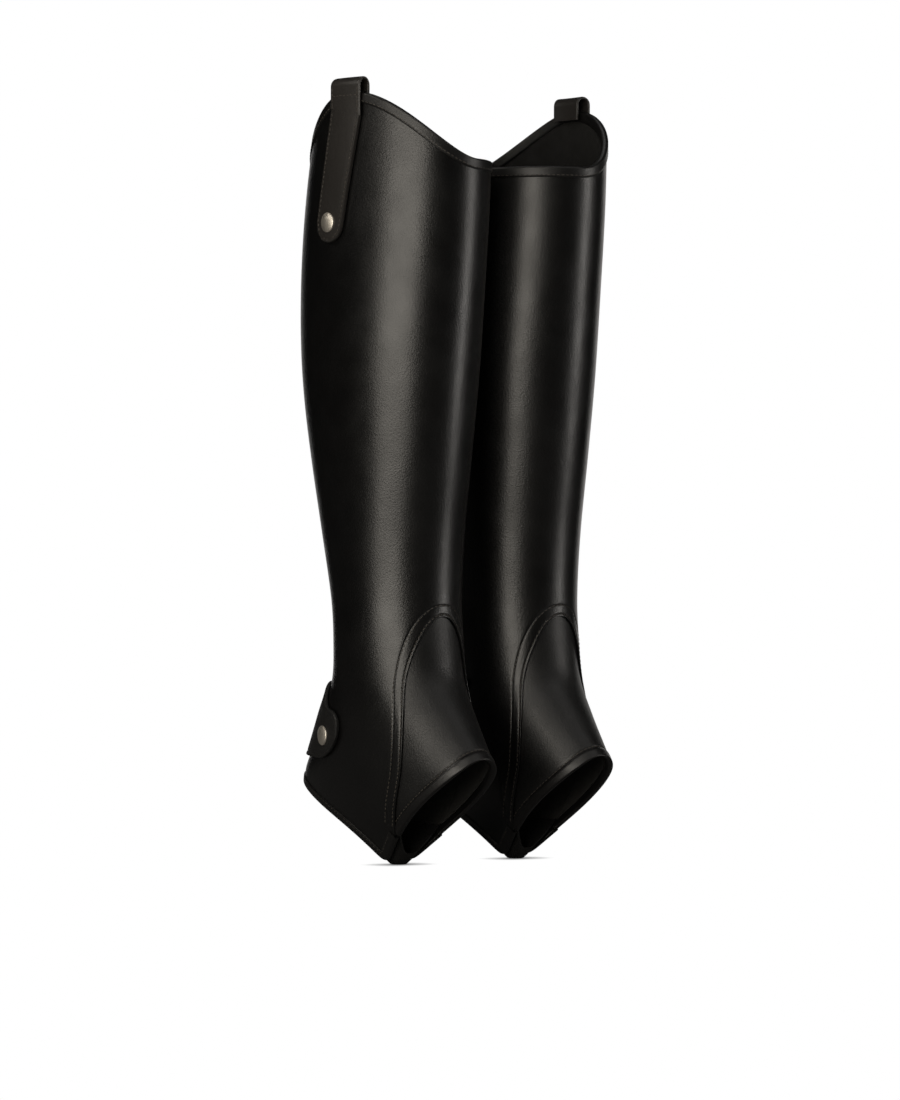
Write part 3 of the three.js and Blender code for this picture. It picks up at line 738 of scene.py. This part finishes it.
def strap_rings(half, edge):
    """Rings across the strap: rounded edges, a sewn groove and a faint crown."""
    share = np.concatenate([[0, 0.02, 0.05, 0.1, 0.15, 0.2], np.linspace(0.27, 0.5, 8)])
    share = np.concatenate([share, 1 - share[-2::-1]])
    across = half[:, None] * (2 * share - 1)
    distance = np.minimum(half[:, None] - np.abs(across), edge)
    centre, thick = sum(STRAP_LAYER) / 2, (STRAP_LAYER[1] - STRAP_LAYER[0]) / 2
    full = rounded(distance, 1.3)
    swell = STRAP["crown"] * (1 - (across / STRAP["half_width"]) ** 2)
    crown = swell + groove(distance, STRAP_SEW, 0.35, 0.5) - 0.25
    outside = np.stack([centre + thick * full + crown * (full > 0.9), across], axis=-1)
    inside = np.stack([centre - thick * full, across], axis=-1)
    return np.concatenate([outside, inside[:, ::-1]], axis=1)


def strap(g):
    length, half_width = STRAP["length"], STRAP["half_width"]
    round_from = length - half_width
    past = half_width * np.sin(np.radians(np.linspace(4, 88, 16)))
    stations = np.concatenate([np.linspace(0, round_from, 34), round_from + past])
    edge = np.maximum(length - stations, 0.02)[:, None]
    rings = strap_rings(round_end(stations), edge)
    g.sheet("strap", stations, rings, strap_point, STRAP_PAINTED_LIGHT_LOOK, "calf_leather", "strap", body="strap_flap")

    shrink = 1 - STRAP_SEW / half_width
    down = np.concatenate([np.linspace(2, round_from, 30), round_from + past[:-2] * shrink])
    line = round_end(down, STRAP_SEW)
    down, across = np.concatenate([down, down[::-1]]), np.concatenate([line, -line[::-1]])
    row = stitch_row(strap_point, down, across, STRAP_LAYER[1] - 0.32)
    g.parts("strap_stitching", [row], THREAD_LOOK, "calf_leather", body="strap_flap")


def loop_fold(radius, outer_x, inner_x):
    """The loop's line: up the outside from the hinge, over the rim, and down the inside."""
    outer, top = STRAP_LAYER[1], LOOP["top"]
    middle = (LOOP["inner"] + outer) / 2
    spring = top - (outer - middle)
    turn = np.radians(np.linspace(0, 180, 17))
    up = np.linspace(STRAP["hinge"], spring - 0.5, 8)
    down = np.linspace(spring - 0.5, LOOP["inside_bottom"], 5)
    return np.concatenate([
        np.stack([0 * up + outer_x, up], axis=1),
        np.stack([middle + radius * np.cos(turn), spring + radius * np.sin(turn)], axis=1),
        np.stack([0 * down + inner_x, down], axis=1),
    ])


def loop_point(across, z, offset):
    """A point on the loop, whose foot leans with the strap below it."""
    drop = np.where(z < STRAP["hinge"] + 2, across * math.tan(math.radians(STRAP["lean"])), 0)
    return strap_side(STRAP["ahead"] + across, z - drop, offset)


def loop(g):
    """The pull loop: the strap's top, folded over the rim and sewn down inside it."""
    outer, inner, thickness, top = STRAP_LAYER[1], LOOP["inner"], LOOP["thickness"], LOOP["top"]
    half, half_width = (outer - inner) / 2, STRAP["half_width"]
    outside = loop_fold(half, outer, inner)
    inside = loop_fold(half - thickness, outer - thickness, inner + thickness)
    ring = np.concatenate([outside, inside[::-1]])
    edge = np.array([1, 0.985, 0.95, 0.9])
    across = half_width * np.concatenate([-edge, np.linspace(-0.8, 0.8, 9), edge[::-1]])
    thin = 0.35 * (1 - rounded(half_width - np.abs(across), 1.2))
    mid_line = (ring + ring[::-1]) / 2
    rings = ring + (mid_line - ring) * (2 * thin)[:, None, None]
    g.sheet("strap_loop", across, rings, loop_point, STRAP_PAINTED_LIGHT_LOOK, "calf_leather", "strap_loop")

    up, sewn = np.linspace(STRAP["hinge"] + 1, top - 6, 20), outer - 0.1
    rows = [stitch_row(loop_point, hand * (half_width - STRAP_SEW), up, sewn) for hand in (-1, 1)]
    rows.append(stitch_row(loop_point, np.linspace(-10, 10, 20), LOOP["sewn"], sewn))
    g.parts("loop_stitching", rows, THREAD_LOOK, "calf_leather")


def tab_high(reach):
    """The upper edge: an S that runs down into the round end."""
    centre, radius = TAB["tip"] - TAB["round"], TAB["round"]
    share = np.clip((reach - TAB["slope_from"]) / (centre + 2 - TAB["slope_from"]), 0, 1)
    fall = TAB["top"] - TAB["low"] - 2 * radius
    disc = np.sqrt(np.maximum(radius**2 - np.maximum(reach - centre, 0) ** 2, 0))
    return TAB["low"] + radius + disc + fall * (1 - share**2 * (3 - 2 * share))


def tab_low(reach):
    past = np.maximum(0, reach - TAB["tip"] + TAB["round"])
    rounding = TAB["round"] - np.sqrt(np.maximum(TAB["round"] ** 2 - past**2, 0))
    return TAB["low"] + rounding + 0.05 * np.maximum(0, TAB["tip"] - TAB["round"] - reach)


def tab_sewing(from_low, from_high):
    return groove(np.minimum(from_low, from_high), 2.6, 0.3, 0.6)


def heel_tab(g):
    """The tab round the heel, from its sewn end to its round tip."""
    anchor, tip, radius, edge = TAB["anchor"], TAB["tip"], TAB["round"], TAB["edge"]
    round_end_reach = radius * np.sin(np.radians(np.linspace(6, 89, 16)))
    stations = np.concatenate([np.linspace(anchor, tip - radius, 70), tip - radius + round_end_reach])
    sewn = np.array([1.6, 2.2, 2.6, 3.0, 3.8])
    rings = sheet_rings(tab_low(stations), tab_high(stations), 22, TAB_LAYER, edge, tab_sewing, sewn)
    close = np.minimum(tip - stations, stations - anchor + 0.2)
    centre = sum(TAB_LAYER) / 2
    rings[..., 0] = centre + (rings[..., 0] - centre) * rounded(np.maximum(close, 0.01), edge)[:, None]
    made = sweep(f"{g.name}_heel_tab_piece", g.side, stations, rings, back_point, TAB_LOOK)
    start = to_frame(g.side, back_point(TAB["hinge"], TAB["middle"], TAB_LAYER[1]))
    end = to_frame(g.side, back_point(TAB["bent"], TAB["middle"], TAB_LAYER[1]))
    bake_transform(made)
    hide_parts(f"{g.name}_heel_tab", f"{g.name}_heel_tab_anchor")


def snap(g, place, u, v, label, body, base, under):
    """A domed snap cap with its rolled rim, and the socket ring behind the leather."""
    def at(along, up, offset):
        return place(*(np.array(float(value)) for value in (along, up, offset)))

    along, up = at(u + 0.5, v, 0) - at(u - 0.5, v, 0), at(u, v + 0.5, 0) - at(u, v - 0.5, 0)
    normal = np.cross(along, up)
    normal *= np.sign(np.dot(normal, at(u, v, 1) - at(u, v, 0)))
    dome = [(SNAP_RADIUS * share, height) for share, height in SNAP_DOME]
    ring = [(radius, under - base + height) for radius, height in SOCKET_RING]
    centre = at(u, v, base)
    made = [lay(lathe(profile), centre[None], up[None], normal[None]) for profile in (dome, ring)]
    g.parts(f"{label}_snap_cap", made, SNAP_LOOK, "snap_metal", f"{label}_snap_cap",
            f"{label}_snap_socket", body=body)


def mirrored(half):
    """The whole of a line given from its middle outward."""
    return np.concatenate([half[:0:-1] * [-1, 1], half])


def elastic(g):
    outside = np.array(ELASTIC_LINE)
    along = np.gradient(outside, axis=0)
    along /= np.linalg.norm(along, axis=1, keepdims=True)
    inside = outside + ELASTIC["thickness"] * np.stack([-along[:, 1], along[:, 0]], axis=1)
    inside[0] = [0, ELASTIC["thickness"]]
    ring = np.concatenate([mirrored(outside), mirrored(inside)[::-1]])
    stations = np.linspace(-2, 2, 25)

    def place(part, z, out):
        """Part runs from -2 to 2: the sheet's flat ends at 1, and past it the sheet lifts."""
        part, z, out = np.broadcast_arrays(part, z, out)
        flat, foot, top = (np.where(part < 0, a, b) for a, b in zip(ELASTIC["behind"], ELASTIC["ahead"]))
        up = np.clip(z / ELASTIC["top"], 0, 1)
        near, far = flat + (foot - flat) * up, foot + (top - foot) * up
        past = np.maximum(np.abs(part) - 1, 0)
        ahead = np.sign(part) * (np.minimum(np.abs(part), 1) * near + past * (far - near))
        return np.stack([out, ahead, z + ELASTIC["lift"] * past**1.2 * (1 - up)], axis=-1)

    g.sheet("foot_elastic", stations, ring, place, ELASTIC_LOOK, "black_elastic", "foot_elastic")


def back_foot(reach):
    """Where the strips beside the back seam end, above the heel's edge."""
    turn = 180 - np.abs(reach) * BACK_STRIPS["turn_per_mm"]
    return over(lower_edge, unsqueezed)(turn) + BACK_STRIPS["above_edge"]


def back_panels(g):
    strips = [
        ("stretch_panel", STRETCH_PANEL, LINING, STRETCH_LOOK, "black_elastic", 36),
        ("zip_edge_strip", ZIP_STRIP, LEATHER, LEATHER_LOOK, "calf_leather", 14),
        ("zip_tape_outer", (0.2, ZIP["tape_edge"]), TAPE, TAPE_LOOK, "zip_tape", 14),
        ("zip_tape_inner", (-ZIP["tape_edge"], -0.2), TAPE, TAPE_LOOK, "zip_tape", 14),
    ]
    for label, reaches, layer, look, slot, columns in strips:
        stations = np.linspace(*reaches, columns)
        high = np.full(columns, RIM["low"] - BACK_STRIPS["below_rim"], float)
        rings = sheet_rings(back_foot(stations), high, 110, layer, 0.5)
        g.sheet(label, stations, rings, back_point, look, slot, label)


def zip_teeth(g):
    z = np.linspace(ZIP["bottom"], ZIP["top"], 400)
    path = back_point(0 * z, z, TOOTH["offset"])
    origins, at, length = walk(path, ZIP["pitch"])
    outward = interpolate(at, length, back_point(0 * z, z, TOOTH["offset"] + 1) - path)
    sideways = np.tile([1.0, 0, 0], (len(at), 1))
    for hand, label in ((1, "outer"), (-1, "inner")):
        shift = hand * np.array([TOOTH["reach"], 0, ZIP["pitch"] / 4])
        teeth = lay(capsule(TOOTH["length"], TOOTH["radius"], 8), origins + shift, sideways, outward)
        g.parts(f"zip_teeth_{label}", [teeth], TEETH_LOOK, "zip_teeth", f"zip_teeth_{label}")


def leather_stitching(g):
    seam, front = edge_point(seam_height, unsqueezed), edge_point(lower_edge, unsqueezed)
    rim, back = edge_point(rim_height, TO_ZIP), edge_point(lower_edge, TO_ZIP)
    leg, front_level = BINDING["leg"], INSTEP_LEATHER[1] - 0.22
    parts = [stitch_row(seam, beside_foot(1, 600), at, -0.2) for at in SEAM_STITCH]
    parts.append(stitch_row(rim, np.linspace(-179, 179, 900), 1.3 - leg, 0.62))
    parts.append(stitch_row(front, beside_foot(2, 500), INSTEP_BINDING_LEG + 0.6, front_level))
    for hand in (1, -1):
        parts.append(stitch_row(back, hand * np.linspace(SEAM["foot"] + 2, 178, 500), leg - 2.2, 0.5))
    g.parts("stitching", parts, THREAD_LOOK, "calf_leather")


def build(name):
    g = Gaiter(name)
    shaft(g)
    instep(g)
    linings(g)
    bindings(g)
    strap(g)
    loop(g)
    heel_tab(g)
    snap(g, strap_point, STRAP["snap"], 0, "strap", "strap_flap", STRAP_LAYER[1] + 0.1, 0.1)
    snap(g, back_point, *TAB["snap"], "tab", "heel_flap", TAB_LAYER[1], 0.12)
    elastic(g)
    back_panels(g)
    zip_teeth(g)
    leather_stitching(g)


CARRIED = {
    "zip_slider": ZIP_METAL_LOOK,
    "zip_puller": ZIP_METAL_LOOK,
    "zip_box": TEETH_LOOK,
    "strap_snap_stud": SNAP_LOOK,
    "tab_snap_stud": SNAP_LOOK,
}


def dress_carried(name):
    """The model's own zip and snap pieces take the looks of the pieces beside them."""
    for node, look in CARRIED.items():
        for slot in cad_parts[f"{name}_{node}"].material_slots:
            slot.material = look


for gaiter_name in SIDES:
    build(gaiter_name)
for gaiter_name in SIDES:
    dress_carried(gaiter_name)

# ---------- the studio ----------

CAMERA = {"place": (-2.072, -2.216, 0.171), "target": (-0.0262, -0.0224, 0.1904), "lens": 162}
# Azimuth from the toe line in degrees, distance, height and size in metres, watts and colour.
SOFTBOXES = {
    "wide": (-70, 1.6, 0.28, (1.25, 0.85), 17, (1.0, 0.94, 0.84)),
    "upper": (-52, 1.3, 1.35, (0.8, 0.6), 3.6, (1.0, 0.95, 0.88)),
    "left": (-112, 1.2, 1.1, (0.5, 0.5), 2.6, (1.0, 0.94, 0.86)),
    "front": (12, 1.2, 1.45, (1.2, 0.8), 3.0, (1.0, 0.97, 0.93)),
    "strip": (41, 1.8, 0.33, (0.22, 0.85), 6.5, (1.0, 0.96, 0.91)),
    "rear": (148, 1.7, 0.5, (0.8, 1.1), 2.2, (1.0, 0.98, 0.96)),
    "right": (116, 1.6, 0.4, (0.8, 1.1), 2.5, (1.0, 0.97, 0.93)),
    "top": (150, 0.5, 2.2, (0.7, 0.7), 2.2, (1.0, 0.98, 0.95)),
}


def aim(thing, place, target):
    thing.location = place
    thing.rotation_euler = (Vector(target) - Vector(place)).to_track_quat("-Z", "Y").to_euler()


def camera():
    data = bpy.data.cameras.new("camera")
    data.lens = CAMERA["lens"]
    data.sensor_fit = "VERTICAL"
    data.sensor_height = 36
    data.clip_end = 50
    made = bpy.data.objects.new("camera", data)
    bpy.context.scene.collection.objects.link(made)
    aim(made, CAMERA["place"], CAMERA["target"])
    bpy.context.scene.camera = made


def softbox(name, azimuth, distance, height, size, watts, colour):
    """A softbox that looks at the gaiters from an azimuth, where 0 is in front of the toes."""
    data = bpy.data.lights.new(name, "AREA")
    data.shape = "RECTANGLE"
    data.size, data.size_y = size
    data.energy = watts
    data.color = colour
    made = bpy.data.objects.new(name, data)
    bpy.context.scene.collection.objects.link(made)
    turn = math.radians(azimuth)
    place = (distance * math.sin(turn), -distance * math.cos(turn), height)
    aim(made, place, (0, 0, 0.25))
    made.visible_camera = False


def split_by_ray(tree, output, other, seen):
    """The camera sees one shader, and every other ray meets the other."""
    mix, path = tree.nodes.new("ShaderNodeMixShader"), tree.nodes.new("ShaderNodeLightPath")
    surface = tree.nodes.new(output).inputs["Surface"]
    tree.links.new(path.outputs["Is Camera Ray"], mix.inputs["Fac"])
    tree.links.new(other.outputs[0], mix.inputs[1])
    tree.links.new(seen.outputs[0], mix.inputs[2])
    tree.links.new(mix.outputs["Shader"], surface)


def backdrop():
    """The world: white where it is looked at, and a dim studio for everything else."""
    world = bpy.data.worlds.new("studio")
    world.use_nodes = True
    tree = world.node_tree
    tree.nodes.clear()
    seen, fill = (tree.nodes.new("ShaderNodeBackground") for _ in range(2))
    seen.inputs["Color"].default_value = (1, 1, 1, 1)
    fill.inputs["Color"].default_value = (0.0056, 0.0058, 0.0062, 1)
    split_by_ray(tree, "ShaderNodeOutputWorld", fill, seen)
    bpy.context.scene.world = world


def floor():
    """A white floor with a painted contact shadow where something nearly touches it."""
    bpy.ops.mesh.primitive_circle_add(vertices=96, radius=6, fill_type="NGON")
    made = bpy.context.object
    made.name = "floor"
    material = bpy.data.materials.new("white_floor")
    material.use_nodes = True
    tree = material.node_tree
    tree.nodes.clear()
    # Painted contact shadow: ambient occlusion darkens the floor's emitted white near the gaiters.
    near = tree.nodes.new("ShaderNodeAmbientOcclusion")
    near.inputs["Distance"].default_value = 0.012
    near.samples = 24
    seen, dim = tree.nodes.new("ShaderNodeEmission"), tree.nodes.new("ShaderNodeBsdfDiffuse")
    dim.inputs["Color"].default_value = (0.2, 0.2, 0.2, 1)
    tree.links.new(near.outputs["Color"], seen.inputs["Color"])
    split_by_ray(tree, "ShaderNodeOutputMaterial", dim, seen)
    made.data.materials.append(material)


camera()
backdrop()
floor()
for box_name, settings in SOFTBOXES.items():
    softbox(f"{box_name}_softbox", *settings)
bpy.context.scene.view_settings.view_transform = "Standard"
